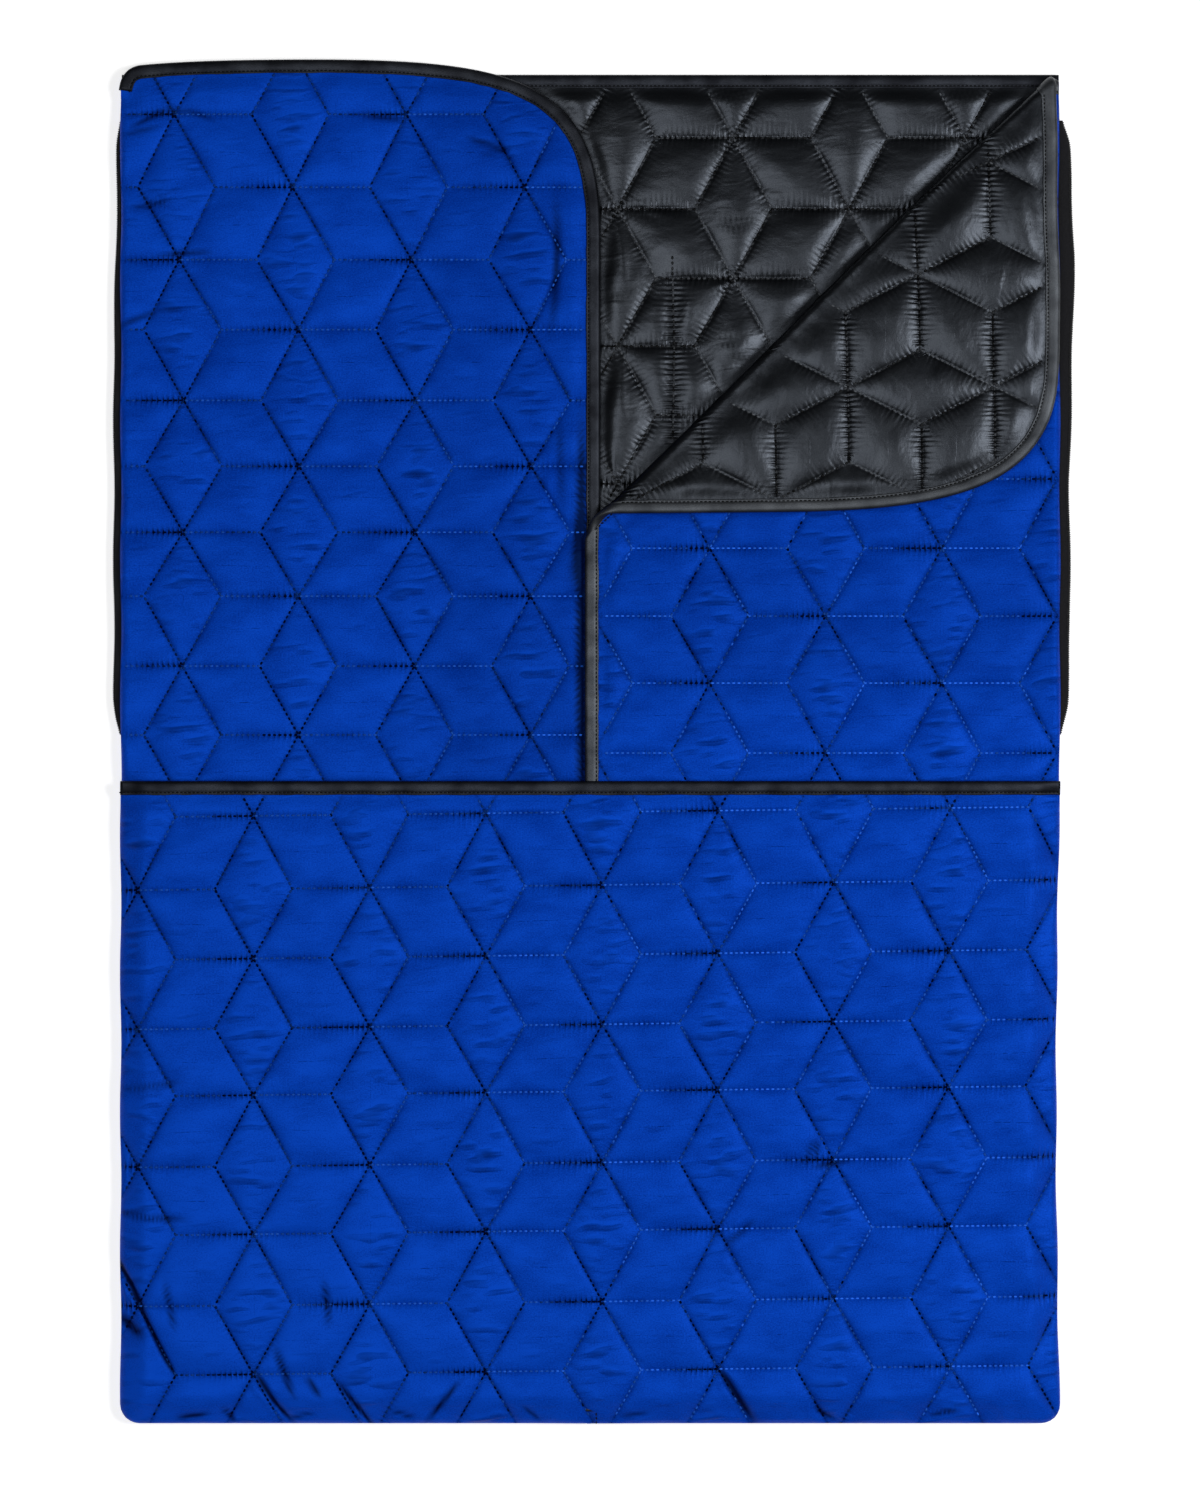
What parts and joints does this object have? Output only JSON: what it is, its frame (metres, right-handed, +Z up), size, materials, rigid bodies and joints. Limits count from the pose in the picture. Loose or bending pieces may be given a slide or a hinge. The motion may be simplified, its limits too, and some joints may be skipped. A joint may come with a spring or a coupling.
{
  "type": "camping blanket",
  "caption": "Quilted camping blanket that opens down the front, laid flat with closed side zips, a foot panel and an upper corner turned back to show the lining.",
  "frame": {"origin": "on the surface that the blanket lies on, under the middle of its box", "axes": "+Z up, +Y from the foot hem to the head, +X towards the side whose upper corner is turned back"},
  "size_m": [0.658, 0.929, 0.0285],
  "materials": {
    "shell": "satin",
    "lining": "glossy satin",
    "binding": "satin",
    "tape": "matte",
    "coil": "satin"
  },
  "bodies": {
    "root": {"back_panel": "shell", "back_lining": "lining", "left_front_panel": "shell", "right_front_panel": "shell", "right_front_lining": "lining", "foot_panel": "shell", "back_binding": "binding", "left_front_binding": "binding", "right_front_binding": "binding", "foot_binding": "binding", "left_zip_back_tape": "tape", "left_zip_front_tape": "tape", "left_zip_coil": "coil", "right_zip_back_tape": "tape", "right_zip_front_tape": "tape", "right_zip_coil": "coil"}
  },
  "joints": []
}
